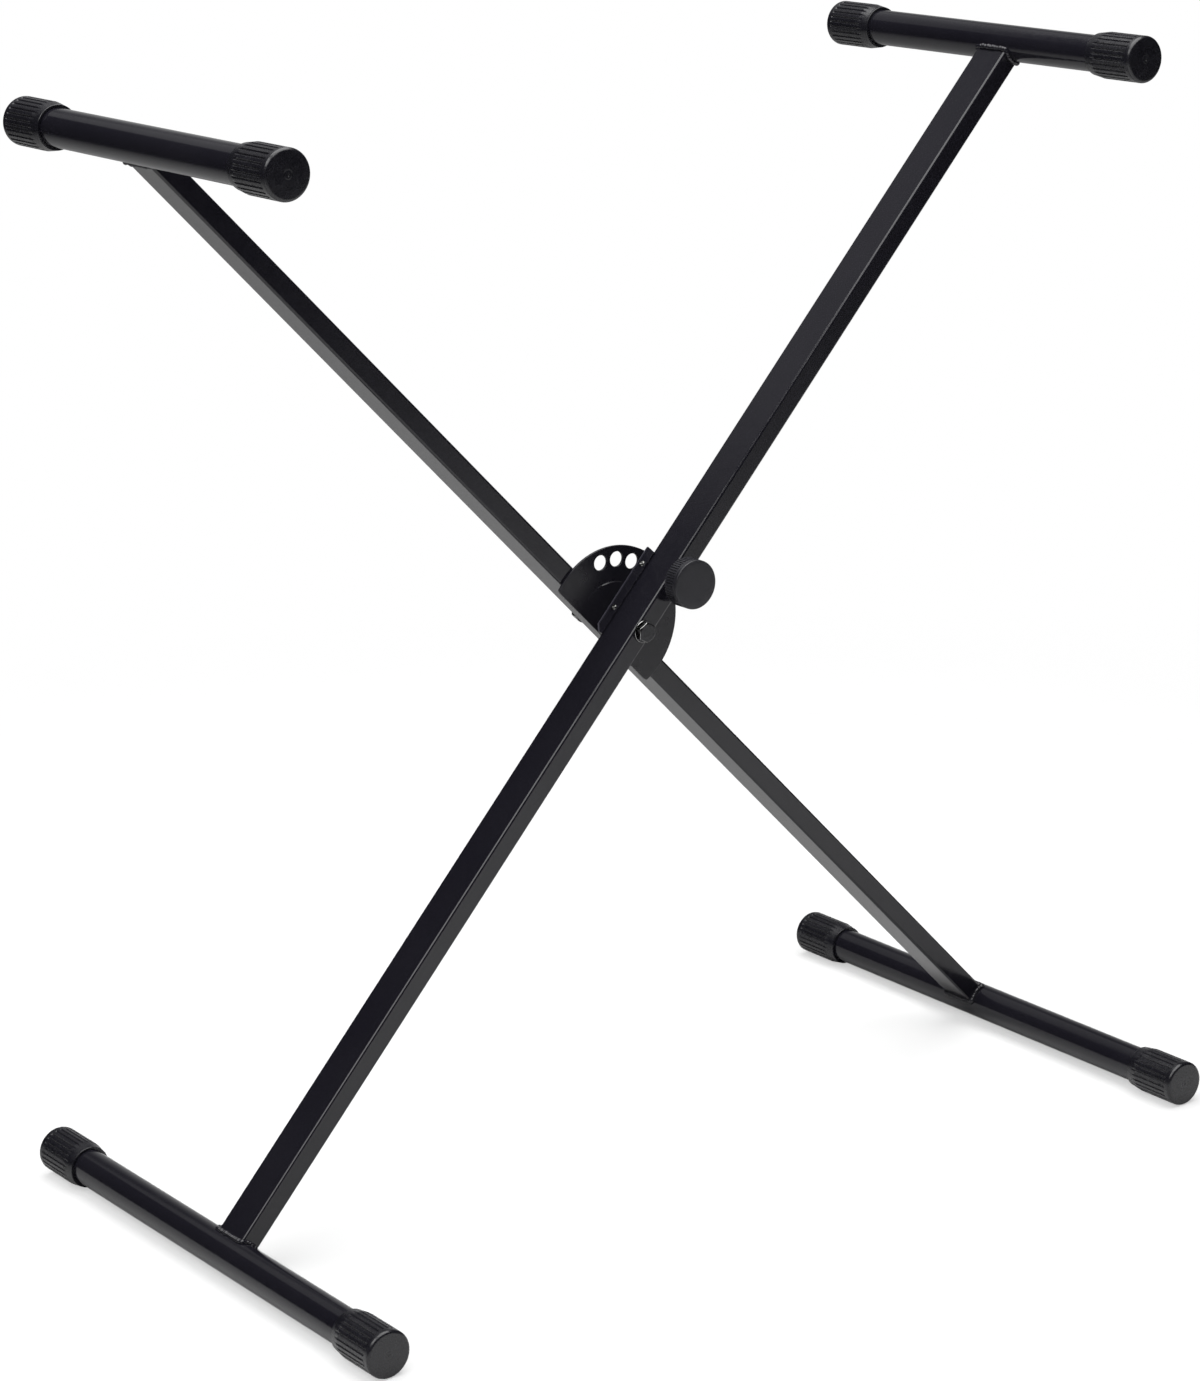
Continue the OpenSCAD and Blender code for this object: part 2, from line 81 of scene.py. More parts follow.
# %% [markdown]
# ## The camera
# The photograph was taken from the player's left, a little above the stand, with a long lens. The camera's place,
# direction, small roll and lens were worked out from the straight edges of the tubes. The film's long side is 36 mm,
# so a focal length in pixels becomes a lens in millimetres by the frame's height of 1381.

# %% Camera
FILM, FRAME_TALL = 36, 1381
FOCAL = 3895.9
CENTRE_OFF = (-9.0, -48.4)
AZIMUTH, ELEVATION, ROLL = (math.radians(a) for a in (35.784, 15.734, 1.651))
CAMERA_AT = (-1.559, -2.1345, 1.12085)

level = math.cos(ELEVATION)
forward = Vector((math.sin(AZIMUTH) * level, math.cos(AZIMUTH) * level, -math.sin(ELEVATION)))
level_right = Vector((math.cos(AZIMUTH), -math.sin(AZIMUTH), 0))
level_up = level_right.cross(forward)
right = math.cos(ROLL) * level_right - math.sin(ROLL) * level_up
up = math.sin(ROLL) * level_right + math.cos(ROLL) * level_up

lens = bpy.data.cameras.new("camera")
lens.lens = FOCAL / FRAME_TALL * FILM
lens.shift_x = -CENTRE_OFF[0] / FRAME_TALL
lens.shift_y = CENTRE_OFF[1] / FRAME_TALL
lens.clip_start, lens.clip_end = 0.1, 50
camera = bpy.data.objects.new("camera", lens)
camera.matrix_world = Matrix.Translation(CAMERA_AT) @ Matrix((right, up, -forward)).transposed().to_4x4()
bpy.context.scene.collection.objects.link(camera)
bpy.context.scene.camera = camera
print("lens", round(lens.lens, 2), "mm, shift", round(lens.shift_x, 4), round(lens.shift_y, 4))

# %% [markdown]
# ## Finishes
# A black stand is a lesson in reflections: nearly all that the eye sees is gloss, so roughness and a fine bump matter
# more than colour. One helper starts each material. It reads Object coordinates, which are metres on the real
# piece, so a noise of scale 700 has grains of about 1.4 mm wherever the piece is.


# %% Helpers for materials
def new_finish(name, color, roughness, metallic=0.0, specular=0.5):
    """A material with its Principled shader, its node tree and the piece's own coordinates."""
    material = bpy.data.materials.new(name)
    material.use_nodes = True
    tree = material.node_tree
    shader = tree.nodes["Principled BSDF"]
    shader.inputs["Base Color"].default_value = (*color, 1)
    shader.inputs["Roughness"].default_value = roughness
    shader.inputs["Metallic"].default_value = metallic
    shader.inputs["Specular IOR Level"].default_value = specular
    place = tree.nodes.new("ShaderNodeTexCoord").outputs["Object"]
    return material, tree, shader, place


def noise_node(tree, place, scale, detail=2.0, stretch=(1, 1, 1)):
    """Noise of a given scale per metre, stretched along chosen axes."""
    mapping = tree.nodes.new("ShaderNodeMapping")
    mapping.inputs["Scale"].default_value = stretch
    tree.links.new(place, mapping.inputs["Vector"])
    node = tree.nodes.new("ShaderNodeTexNoise")
    node.inputs["Scale"].default_value = scale
    node.inputs["Detail"].default_value = detail
    tree.links.new(mapping.outputs["Vector"], node.inputs["Vector"])
    return node.outputs["Fac"]


def spread(tree, fac, low, high):
    """Turns a noise into a value between low and high."""
    node = tree.nodes.new("ShaderNodeMapRange")
    node.inputs["From Min"].default_value = 0.3
    node.inputs["From Max"].default_value = 0.7
    node.inputs["To Min"].default_value = low
    node.inputs["To Max"].default_value = high
    tree.links.new(fac, node.inputs["Value"])
    return node.outputs["Result"]


def tint(tree, fac, dark, light):
    """Turns a noise into a colour between two."""
    node = tree.nodes.new("ShaderNodeValToRGB")
    node.color_ramp.elements[0].position = 0.3
    node.color_ramp.elements[1].position = 0.7
    node.color_ramp.elements[0].color = (*dark, 1)
    node.color_ramp.elements[1].color = (*light, 1)
    tree.links.new(fac, node.inputs["Fac"])
    return node.outputs["Color"]


def bump(tree, height, distance, below=None):
    """A bump of a given height in metres, laid over an earlier one."""
    node = tree.nodes.new("ShaderNodeBump")
    node.inputs["Distance"].default_value = distance
    tree.links.new(height, node.inputs["Height"])
    if below:
        tree.links.new(below, node.inputs["Normal"])
    return node.outputs["Normal"]


# %% [markdown]
# ### Powder coat
# The steel is sprayed with a dry powder that melts into a thick black skin. It stays a little wavy, like the peel of
# an orange, with waves 2 to 3 mm long, and a finer grain breaks up the gloss. The lock plate's coat is duller. On the
# weld beads the paint pools, so it is wavier. The bracket's thin lips get a duller coat several times lighter, a
# painted highlight for the light line along their edge.


# %% Powder coat
COAT_DARK, COAT_LIGHT = (0.0064, 0.006, 0.0094), (0.0098, 0.0093, 0.013)


def powder_coat(name, roughness, peel, highlight_gain=1):
    """Black powder coat; a highlight gain above 1 makes it several times lighter, a painted highlight."""
    dark, light = (tuple(c * highlight_gain for c in colour) for colour in (COAT_DARK, COAT_LIGHT))
    material, tree, shader, place = new_finish(name, dark, roughness, specular=0.44)
    cloud = noise_node(tree, place, 9, detail=3)
    tree.links.new(tint(tree, cloud, dark, light), shader.inputs["Base Color"])
    patches = spread(tree, noise_node(tree, place, 160), roughness - 0.03, roughness + 0.03)
    tree.links.new(patches, shader.inputs["Roughness"])
    waves = bump(tree, noise_node(tree, place, 420, detail=1), peel)
    tree.links.new(bump(tree, noise_node(tree, place, 2600), peel / 5, below=waves), shader.inputs["Normal"])
    return material


coat = powder_coat("powder_coat", 0.15, 0.000015)
sheet_coat = powder_coat("powder_coat_sheet", 0.3, 0.00002)
weld_coat = powder_coat("painted_weld", 0.15, 0.00003)
# The lips' lighter, duller coat is a painted highlight: it stands in for the light line that their edge catches.
lip_highlight_coat = powder_coat("lip_painted_highlight", 0.45, 0.00002, highlight_gain=3.5)
print("finishes:", coat.name, sheet_coat.name, weld_coat.name, lip_highlight_coat.name)

# %% [markdown]
# ### Cap, knob and fasteners
# The caps are a hard rubber with a satin skin from a polished mould. The knob is a grained plastic that reflects less.
# The bolt and its washers have a black chemical finish over bright metal, so they shine through a dark colour. Their
# rims get a bright metal that paints the glints the rims catch. The plug welds are a lighter metal. The pieces
# inside, such as the pin and its spring, are bare steel with the fine lines of turning.


# %% Cap rubber, knob plastic
def moulded(name, dark, light, roughness, grain):
    material, tree, shader, place = new_finish(name, dark, roughness)
    tree.links.new(tint(tree, noise_node(tree, place, 60, detail=4), dark, light), shader.inputs["Base Color"])
    patches = spread(tree, noise_node(tree, place, 240), roughness - 0.04, roughness + 0.04)
    tree.links.new(patches, shader.inputs["Roughness"])
    tree.links.new(bump(tree, noise_node(tree, place, 3400), grain), shader.inputs["Normal"])
    return material


rubber = moulded("cap_rubber", (0.0055, 0.0053, 0.0078), (0.0085, 0.0082, 0.0115), 0.27, 0.000002)
plastic = moulded("knob_plastic", (0.009, 0.0088, 0.0125), (0.0125, 0.0123, 0.017), 0.42, 0.00001)


# %% Black fasteners and bare steel
def metal(name, dark, light, roughness, lines):
    material, tree, shader, place = new_finish(name, dark, roughness, metallic=1.0)
    tree.links.new(tint(tree, noise_node(tree, place, 500, detail=4), dark, light), shader.inputs["Base Color"])
    patches = spread(tree, noise_node(tree, place, 1500), roughness - 0.06, roughness + 0.08)
    tree.links.new(patches, shader.inputs["Roughness"])
    tree.links.new(bump(tree, noise_node(tree, place, 900, stretch=lines), 0.000006), shader.inputs["Normal"])
    return material


dark_metal = metal("dark_fastener", (0.035, 0.035, 0.037), (0.065, 0.065, 0.068), 0.2, (1, 1, 1))
# Bright metal for the rims of the bolt, nut and washers: a painted highlight for the glints along them.
rim_glint_metal = metal("rim_glint_metal", (0.22, 0.22, 0.22), (0.36, 0.36, 0.35), 0.16, (1, 1, 1))
plug_metal = metal("plug_weld", (0.1, 0.1, 0.1), (0.2, 0.2, 0.19), 0.14, (1, 1, 1))
steel = metal("plain_steel", (0.42, 0.42, 0.43), (0.58, 0.58, 0.58), 0.28, (1, 6, 1))
print("finishes:", rubber.name, plastic.name, dark_metal.name, rim_glint_metal.name, plug_metal.name, steel.name)

# %% [markdown]
# ### Pieces that keep their CAD shape
# The arm tubes have the right section, corners and shaped ends already, and the sleeves, spacer, pin and spring are
# inside. Assigning a material to a CAD piece's slot is all they need.

# %% Finish the CAD pieces
KEPT = {
    coat: ["front_arm_tube", "back_arm_tube"],
    steel: ["front_arm_sleeve", "back_arm_sleeve", "bracket_spacer", "locking_pin", "pin_spring"],
}
for material, names in KEPT.items():
    for name in names:
        slots = frame["nodes"][name].data.materials
        slots.clear()
        slots.append(material)
print("kept from CAD:", sum(len(names) for names in KEPT.values()), "pieces")

# %% [markdown]
# ## Turned pieces
# Bars, caps, washers, the knob and the guide are all round about one axis. A profile is drawn as a few points of
# radius and depth, and spun a full turn about Y. A profile that starts and ends on the axis closes itself at two
# poles, and any other one is joined back to its start, which makes a ring.


# %% Helpers for turned pieces
SHARP = math.radians(40)


def lathe(profile, steps=96, bm=None):
    """Spins points of (radius, depth), in millimetres, about Y."""
    bm = bm or bmesh.new()
    start = [bm.verts.new((radius * MM, depth * MM, 0)) for radius, depth in profile]
    pairs = list(zip(start, start[1:]))
    if profile[0][0] > 0:
        pairs.append((start[-1], start[0]))
    edges = [bm.edges.new(pair) for pair in pairs]
    turn = {"cent": (0, 0, 0), "axis": (0, 1, 0), "angle": math.tau, "steps": steps, "use_merge": True}
    bmesh.ops.spin(bm, geom=start + edges, **turn)
    bmesh.ops.remove_doubles(bm, verts=bm.verts, dist=1e-7)
    return bm


def arc(centre, radius, start, end, steps):
    """Points on an arc of a profile, angles in degrees from the outward direction towards +depth."""
    angles = [math.radians(start + (end - start) * i / steps) for i in range(steps + 1)]
    return [(centre[0] + radius * math.cos(a), centre[1] + radius * math.sin(a)) for a in angles]


def merge(bm, other):
    """Moves all of another bmesh into this one."""
    holder = bpy.data.meshes.new("merged")
    other.to_mesh(holder)
    other.free()
    bm.from_mesh(holder)
    bpy.data.meshes.remove(holder)


def cut_away(bm, point, outward):
    """Cuts away what lies beyond a plane through a point in millimetres."""
    everything = bm.verts[:] + bm.edges[:] + bm.faces[:]
    place = Vector(point) * MM
    bmesh.ops.bisect_plane(bm, geom=everything, plane_co=place, plane_no=outward, clear_outer=True)


def add_piece(name, bm, place, body, nodes, slot, *materials, flat_sides=False):
    """Makes a bmesh a finished piece: placed in its mesh, shaded, riding on its body, in place of CAD nodes."""
    bmesh.ops.transform(bm, matrix=place, verts=bm.verts)
    bmesh.ops.recalc_face_normals(bm, faces=bm.faces)
    mesh = bpy.data.meshes.new(name)
    bm.to_mesh(mesh)
    bm.free()
    mesh.shade_smooth()
    mesh.set_sharp_from_angle(angle=SHARP)
    for material in materials:
        mesh.materials.append(material)
    piece = bpy.data.objects.new(name, mesh)
    bpy.context.scene.collection.objects.link(piece)
    if flat_sides:
        even = piece.modifiers.new("even shading", "WEIGHTED_NORMAL")
        even.keep_sharp = True
    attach(piece, body)
    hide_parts(*nodes)
    print(name, len(mesh.polygons), "faces")


# %% [markdown]
# ### Bars
# A bar is 26 mm welded tube, cut square. Its ends stop inside the caps, 4 mm short of the end face. Ninety-six steps
# keep its outline smooth even close to the camera.

# %% Bars
BAR_R, BAR_WALL, BAR_EDGE, CAP_END, CAP_LEN = 13, 1.2, 0.3, 4, 46
TOP_LENGTH, FOOT_LENGTH = 329, 434
BARS = [
    ("top_bar_right", "front_top_bar", "front_frame", FRONT, 1, TOP_LENGTH),
    ("foot_bar_left", "front_foot_bar", "front_frame", FRONT, -1, FOOT_LENGTH),
    ("top_bar_left", "back_top_bar", "back_frame", BACK, 1, TOP_LENGTH),
    ("foot_bar_right", "back_foot_bar", "back_frame", BACK, -1, FOOT_LENGTH),
]
for name, node, body, arm, end, length in BARS:
    half, bore = length / 2 - CAP_END, BAR_R - BAR_WALL
    profile = [(bore, -half), (BAR_R - BAR_EDGE, -half), (BAR_R, BAR_EDGE - half)]
    profile += [(BAR_R, half - BAR_EDGE), (BAR_R - BAR_EDGE, half), (bore, half)]
    add_piece(name, lathe(profile), arm @ shift(z=end * HALF_ARM), body, [node], "powder_coat", coat)

# %% [markdown]
# ### Ribbed caps
# A cap slips over the bar's end. From its lip it widens evenly to 33 mm, runs straight, and turns over a rounded edge
# into a flat end with a small moulding mark. Twenty-eight grooves make it a grip. They could be cut one by one, but
# it is simpler to spin the plain cap with twelve steps to each groove, and then to press the points near a groove's
# middle inwards to the round of a cutter. Where the shoulder lies below the cutter nothing moves, so the ribs run
# out on the shoulder by themselves. Small rings of points beside the mark keep the shading of the flat end even.

# %% Ribbed caps
CAP_R, LIP_R, LIP, SWELL, EDGE = 16.5, 15.1, 0.6, 9.5, 2.4
GROOVES, CUTTER, GROOVE_DEEP, GROOVE_EASE, COLLAR = 28, 0.8, 0.7, 1.2, 5


def press_grooves(bm, count, radius, cutter, deep, stop, ease):
    """Presses grooves into the side of a turned piece, up to the depth where they stop."""
    for v in bm.verts:
        r, y = math.hypot(v.co.x, v.co.z) / MM, v.co.y / MM
        if r < radius - 3 * deep or y > stop:
            continue
        angle = math.atan2(v.co.x, v.co.z) / math.tau * count
        off = abs(angle - math.floor(angle) - 0.5) / count * math.tau * radius
        if off >= cutter:
            continue
        lift = deep * (1 - math.sqrt(max(0, 1 - max(0, 1 - (stop - y) / ease) ** 2)))
        floor_r = radius + cutter - deep + lift - math.sqrt(cutter**2 - off**2)
        if floor_r < r:
            v.co.x *= floor_r / r
            v.co.z *= floor_r / r


def cap_mesh():
    inside = BAR_R + 0.05
    straight = CAP_LEN - COLLAR
    profile = [(0, CAP_LEN - CAP_END), (inside, CAP_LEN - CAP_END), (inside, 0.2), (inside + 0.2, 0)]
    profile += [(LIP_R - 0.3, 0), (LIP_R, 0.3), (LIP_R, LIP)]
    profile += [(LIP_R + (CAP_R - LIP_R) * i / 8, LIP + SWELL * i / 8) for i in range(1, 9)]
    profile += [(CAP_R, y) for y in (11, 18, 25, 32, 37)]
    profile += [(CAP_R, straight + y) for y in (-1.2, -0.8, -0.4, -0.15, 0, 1)]
    profile += arc((CAP_R - EDGE, CAP_LEN - EDGE), EDGE, 0, 90, 9)
    mark = [(3.7, 0), (3.4, 0), (3.1, 0.12), (2.7, 0.12), (2.4, 0), (2.1, 0)]
    mark += [(1.2, 0), (0.9, 0), (0.75, 0.15), (0.6, 0.4), (0, 0.4)]
    profile += [(radius, CAP_LEN - sunk) for radius, sunk in mark]
    bm = lathe(profile, steps=GROOVES * 12)
    press_grooves(bm, GROOVES, CAP_R, CUTTER, GROOVE_DEEP, straight, GROOVE_EASE)
    return bm


for name, node, body, arm, end, length in BARS:
    for side, turn in (("near", math.pi), ("far", 0)):
        place = arm @ shift(z=end * HALF_ARM) @ Matrix.Rotation(turn, 4, "Z") @ shift(y=length / 2 - CAP_LEN)
        cad = node.replace("bar", "cap") + "_" + side
        add_piece(name.replace("bar", "cap") + "_" + side, cap_mesh(), place, body, [cad], "cap_rubber", rubber)

# %% [markdown]
# ## Weld beads
# A welder runs a bead round the foot of each arm where it meets the bar. The bead is a chain of overlapping
# puddles, 2.6 mm apart, and the paint lies glossy on it. A curve with a round section follows the joint, its
# thickness rises and falls with the puddles, and a little noise makes the line uneven, as a hand does. The curve is
# then made a mesh.


# %% Helper for weld beads
BEAD_R, PUDDLE, UNEVEN = 2, 2.6, 0.35


def bead(bm, points, closed):
    """Adds a weld bead along points in millimetres to a bmesh."""
    curve = bpy.data.curves.new("bead", "CURVE")
    curve.dimensions = "3D"
    curve.bevel_depth = BEAD_R * MM
    curve.bevel_resolution = 3
    curve.use_fill_caps = True
    spline = curve.splines.new("POLY")
    spline.points.add(len(points) - 1)
    spline.use_cyclic_u = closed
    run = 0
    for i, (p, point) in enumerate(zip(points, spline.points)):
        run += math.dist(p, points[i - 1]) if i else 0
        wander = noise.noise_vector(Vector(p) * 0.35) * UNEVEN
        point.co = (*((Vector(p) + wander) * MM), 1)
        fade = 1 if closed else min(1, 0.35 + 0.4 * min(i, len(points) - 1 - i))
        ripple = abs(math.sin(math.pi * run / PUDDLE + 2 * noise.noise(Vector(p) * 0.2)))
        point.radius = fade * (0.74 + 0.32 * ripple + 0.28 * noise.noise(Vector(p) * 0.3))
    holder = bpy.data.objects.new("bead", curve)
    bpy.context.scene.collection.objects.link(holder)
    made = bpy.data.meshes.new_from_object(holder.evaluated_get(bpy.context.evaluated_depsgraph_get()))
    bm.from_mesh(made)
    bpy.data.objects.remove(holder)
    bpy.data.curves.remove(curve)
    bpy.data.meshes.remove(made)
    bmesh.ops.remove_doubles(bm, verts=bm.verts, dist=1e-7)


# %% Beads between the arms and their bars
ARM_W, ARM_D, ARM_GAP = 15, 30, 9


def joint_line(near, end, out=0.7, step=0.4):
    """Points round an arm's end where it meets its bar, out from the arm's wall and the bar's surface."""
    half_w, half_d, corner = ARM_W / 2 + out, ARM_D / 2 + out, 2.2
    flat = []
    for cx, cy, turn in ((1, 1, 0), (-1, 1, 90), (-1, -1, 180), (1, -1, 270)):
        for i in range(7):
            a = math.radians(turn + 15 * i)
            x = cx * (half_w - corner) + corner * math.cos(a)
            flat.append((x, cy * (half_d - corner) + corner * math.sin(a)))
    line = []
    for (x0, y0), (x1, y1) in zip(flat, flat[1:] + flat[:1]):
        count = max(1, round(math.dist((x0, y0), (x1, y1)) / step))
        line += [(x0 + (x1 - x0) * i / count, y0 + (y1 - y0) * i / count) for i in range(count)]
    rise = BAR_R + out * 0.6
    return [(x, near + ARM_D / 2 + y, end * (HALF_ARM - math.sqrt(rise**2 - x**2))) for x, y in line]


for name, near, node, body, arm in (
    ("welds_right", -ARM_GAP / 2 - ARM_D, "front_arm_welds", "front_frame", FRONT),
    ("welds_left", ARM_GAP / 2, "back_arm_welds", "back_frame", BACK),
):
    bm = bmesh.new()
    for end in (-1, 1):
        bead(bm, joint_line(near, end), closed=True)
    add_piece(name, bm, arm, body, [node], "painted_weld", weld_coat)

# %% [markdown]
# ## Lock plate
# The plate is a laser-cut half disc on the back arm, 2 mm thick, with a row of five holes for the pin and a raised
# round middle that the bracket runs on. It starts as a full circle that a plane cuts straight. The two corners are
# rounded with a vertex bevel. Filling between the outline and circles for the holes gives the flat shape, an extrusion
# makes it thick, and two small insets round each edge, so that the edges catch a line of light.


# %% Helper for sheet pieces
RIM_STEPS = ((0.1, 0.2), (0.2, 0.1))


def sheet_with_holes(bm, holes, thick):
    """Fills the outline in the XY plane, less round holes (x, y, radius), and makes a sheet with soft edges."""
    rim = sum(rise for inward, rise in RIM_STEPS)
    for x, y, radius in holes:
        bmesh.ops.create_circle(bm, segments=48, radius=radius * MM, matrix=shift(x, y))
    bmesh.ops.triangle_fill(bm, edges=bm.edges, use_beauty=True, normal=(0, 0, 1))
    bmesh.ops.recalc_face_normals(bm, faces=bm.faces)
    top = bm.faces[:]
    if top[0].normal.z < 0:
        bmesh.ops.reverse_faces(bm, faces=top)
    under = bmesh.ops.duplicate(bm, geom=bm.verts[:] + bm.edges[:] + top)
    below = [f for f in under["geom"] if isinstance(f, bmesh.types.BMFace)]
    bmesh.ops.reverse_faces(bm, faces=below)
    bmesh.ops.translate(bm, vec=(0, 0, (thick - rim) * MM), verts=list({v for f in top for v in f.verts}))
    bmesh.ops.translate(bm, vec=(0, 0, rim * MM), verts=list({v for f in below for v in f.verts}))
    bridge_stacked(bm, [e for e in bm.edges if e.is_boundary])
    for side in (top, below):
        for inward, rise in RIM_STEPS:
            size = {"thickness": inward * MM, "depth": rise * MM}
            bmesh.ops.inset_region(bm, faces=side, use_boundary=True, use_even_offset=True, **size)


def bridge_stacked(bm, rims):
    """Bridges each loop of boundary edges to the one straight below it."""
    loops = []
    left = set(rims)
    while left:
        loop, front = set(), {left.pop()}
        while front:
            edge = front.pop()
            loop.add(edge)
            near = {e for v in edge.verts for e in v.link_edges if e in left}
            left -= near
            front |= near
        loops.append(loop)
    middle = {}
    for loop in loops:
        verts = {v for e in loop for v in e.verts}
        centre = sum((v.co for v in verts), Vector()) / len(verts)
        middle.setdefault((round(centre.x * 1e4), round(centre.y * 1e4)), []).append(loop)
    for pair in middle.values():
        bmesh.ops.bridge_loops(bm, edges=[e for loop in pair for e in loop])


# %% Lock plate
PLATE_R, PLATE_DROP, PLATE_T, CHORD, CORNER = 55.4, 2, 2, 13, 3.4
HOLE_R, HOLE_STEP, BOLT_R = 5.5, 18, 4
bm = bmesh.new()
bmesh.ops.create_circle(bm, cap_ends=True, segments=180, radius=PLATE_R * MM, matrix=shift(y=-PLATE_DROP))
cut_away(bm, (-CHORD, 0, 0), (-1, 0, 0))
corners = [v for v in bm.verts if abs(v.co.x + CHORD * MM) < 1e-6]
bmesh.ops.bevel(bm, geom=corners, affect="VERTICES", offset=CORNER * MM, segments=8, profile=0.5, material=-1)
bmesh.ops.delete(bm, geom=bm.faces[:], context="FACES_ONLY")
angles = [math.radians(OPEN_ANGLE + HOLE_STEP * k) for k in range(-3, 2)]
holes = [(HOLE_RING * math.sin(a), HOLE_RING * math.cos(a), HOLE_R) for a in angles]
sheet_with_holes(bm, holes + [(0, 0, BOLT_R + 0.06)], PLATE_T)
bmesh.ops.transform(bm, matrix=shift(y=ARM_GAP / 2) @ Matrix.Rotation(math.pi / 2, 4, "X"), verts=bm.verts)

# %% [markdown]
# The plate's middle is pressed forward a little. The photograph shows its edge only as a short bright arc near the
# top, so the pressing is highest there, at the crest, and sinks into the sheet to either side. It starts as a low
# turned disc. Each point of its front is then moved back by the more, the further it is from the crest, but by no
# more than 0.8 mm, which is below the face of the sheet.

# %% Raised middle of the plate
RISE, SUNK, BOSS_R, SHOULDER_R = 0.6, 0.3, 28.5, 27.83
TILT, REACH, LOWEST = 2.3, 28, 0.8
CREST = Vector((0.618, 0, 0.786))
face = ARM_GAP / 2 - PLATE_T
boss = lathe([
    (4.1, face + SUNK), (4.1, face - 0.5), (4.4, face - RISE),
    (SHOULDER_R, face - RISE), (BOSS_R, face), (BOSS_R, face + SUNK),
], steps=144)
cut_away(boss, (0.35 - CHORD, 0, 0), (-1, 0, 0))
bmesh.ops.holes_fill(boss, edges=[e for e in boss.edges if e.is_boundary])
for v in boss.verts:
    if v.co.y < (face - 0.05) * MM:
        v.co.y += min(TILT * (1 - v.co.dot(CREST) / (REACH * MM)), LOWEST) * MM
merge(bm, boss)
add_piece("plate_with_holes", bm, BACK, "back_frame", ["lock_plate"], "powder_coat", sheet_coat, flat_sides=True)

# %% Welds behind the plate
bm = bmesh.new()
for side in (-1, 1):
    line = [(side * (ARM_W / 2 + 0.5), ARM_GAP / 2 + 0.5, -34 + 0.4 * i) for i in range(171)]
    bead(bm, line, closed=False)
add_piece("plate_beads", bm, BACK, "back_frame", ["lock_plate_welds"], "painted_weld", weld_coat)

# %% [markdown]
# ## Bracket
# A channel bent from 1.5 mm sheet is pushed over the far side of the front arm. Its sides lap the arm a little and
# are held by plug welds, and its flat web slides on the lock plate, so the bolt and the pin are held close to it.
# The channel's line is drawn across, bent with small radii, extruded along the arm, and then cut by planes: one takes
# the corner off each side at the lower end, two shape the upper end. A thin lip beside the web follows its edge. Its
# lighter, duller paint is a painted highlight, standing in for the light line along that edge.

# %% Bracket
BRACKET_T, WEB_FAR, LAP_EDGE = 1.5, 1.7, -7.1
UP, DOWN, CUT, SLANT = 57.8, 14, 5.5, 2.5
LIP_OUT, LIP_T, EAR = 1.2, 1, 1.2
outer_w, bend = ARM_W / 2 + BRACKET_T, 0.8


def soften(bm, size):
    """Rounds the sharp edges of a mesh a little."""
    bmesh.ops.recalc_face_normals(bm, faces=bm.faces)
    rim = [e for e in bm.edges if e.is_manifold and e.calc_face_angle(0) > SHARP]
    how = {"segments": 2, "profile": 0.5, "material": -1, "clamp_overlap": True}
    bmesh.ops.bevel(bm, geom=rim, affect="EDGES", offset=size * MM, **how)


def moved(bm, grown, *vec):
    """Moves the points that an extrusion has grown, in millimetres."""
    verts = [v for v in grown["geom"] if isinstance(v, bmesh.types.BMVert)]
    bmesh.ops.translate(bm, vec=Vector(vec) * MM, verts=verts)


def bracket_mesh():
    bm = bmesh.new()
    bent = arc((outer_w - bend, WEB_FAR - bend), bend, 0, 90, 5)
    line = [(-outer_w, LAP_EDGE)] + [(-x, y) for x, y in bent]
    line += bent[::-1] + [(outer_w, LAP_EDGE)]
    across = [bm.verts.new((x * MM, y * MM, -DOWN * MM)) for x, y in line]
    edges = [bm.edges.new(pair) for pair in zip(across, across[1:])]
    moved(bm, bmesh.ops.extrude_edge_only(bm, edges=edges), 0, 0, UP + DOWN)
    cut_away(bm, (0, WEB_FAR, CUT - DOWN), (0, 1, -1))
    cut_away(bm, (0, WEB_FAR, UP), (0, -SLANT, WEB_FAR - LAP_EDGE))
    cut_away(bm, (0, WEB_FAR, UP - EAR), (0, 1, 1))
    bmesh.ops.recalc_face_normals(bm, faces=bm.faces)
    if sum((f.normal.y for f in bm.faces)) < 0:
        bmesh.ops.reverse_faces(bm, faces=bm.faces[:])
    bmesh.ops.solidify(bm, geom=bm.faces[:], thickness=BRACKET_T * MM)
    soften(bm, 0.25)
    return bm


def lip_mesh(side):
    """The thin strip beside the web that follows its edge and the cut corner."""
    bm = bmesh.new()
    near = WEB_FAR - LIP_T
    strip = [(WEB_FAR, UP - EAR), (WEB_FAR, CUT - DOWN), (WEB_FAR - CUT, -DOWN)]
    strip += [(near - CUT, -DOWN), (near, CUT - DOWN), (near, UP - EAR + LIP_T)]
    inner = outer_w - BRACKET_T / 2
    face = bm.faces.new([bm.verts.new(Vector((side * inner, y, z)) * MM) for y, z in strip])
    moved(bm, bmesh.ops.extrude_face_region(bm, geom=[face]), side * (outer_w + LIP_OUT - inner), 0, 0)
    soften(bm, 0.3)
    # The lip's faces take the second material, the lighter coat that paints the highlight along its edge.
    for face in bm.faces:
        face.material_index = 1
    return bm


bracket = bracket_mesh()
for side in (-1, 1):
    merge(bracket, lip_mesh(side))
# The bracket's second material is the lighter coat, a painted highlight on the lips.
add_piece("arm_bracket", bracket, FRONT, "front_frame", ["pivot_bracket"], "powder_coat",
          coat, lip_highlight_coat, flat_sides=True)

# %% [markdown]
# ### Plug welds
# Each is a blob of metal melted through a small hole, with a dip where the torch left it. A low turned dome with a
# shallow crater, made uneven by noise, gives the two close glints that the photograph shows.

